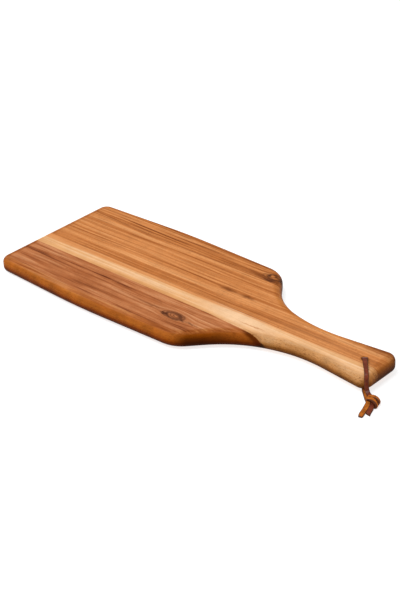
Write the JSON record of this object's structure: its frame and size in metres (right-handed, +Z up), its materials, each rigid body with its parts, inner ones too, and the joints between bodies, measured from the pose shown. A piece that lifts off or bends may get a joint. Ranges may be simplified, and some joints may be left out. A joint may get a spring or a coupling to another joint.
{
  "type": "serving board",
  "caption": "Paddle-shaped wooden serving board with rounded edges, edge-glued staves and a knotted leather lace through its handle, for carrying and serving.",
  "frame": {"origin": "on the surface that the board stands on, under the middle of the wooden board's box", "axes": "+X along the board from its far end to the end of its handle, +Y across to its rear edge, +Z up out of the serving face"},
  "size_m": [0.5043, 0.186, 0.0245],
  "materials": {
    "front_heartwood": "oiled, satin",
    "sapwood": "oiled, satin",
    "middle_heartwood": "oiled, satin",
    "rear_heartwood": "oiled, satin",
    "leather": "smooth grain side, suede back"
  },
  "bodies": {
    "board": {"stave_front": "front_heartwood", "stave_light": "sapwood", "stave_middle": "middle_heartwood", "stave_rear": "rear_heartwood"},
    "lace": {"lace_upper": "leather", "lace_lower": "leather", "lace_knot": "leather", "lace_tail_short": "leather", "lace_tail_long": "leather"}
  },
  "joints": [
    {"name": "lace_swing", "type": "hinge", "parent": "board", "child": "lace", "pos_m": [0.2167, 0, 0.0117], "axis": [0, 0, 1], "range_deg": [-40, 136]}
  ]
}
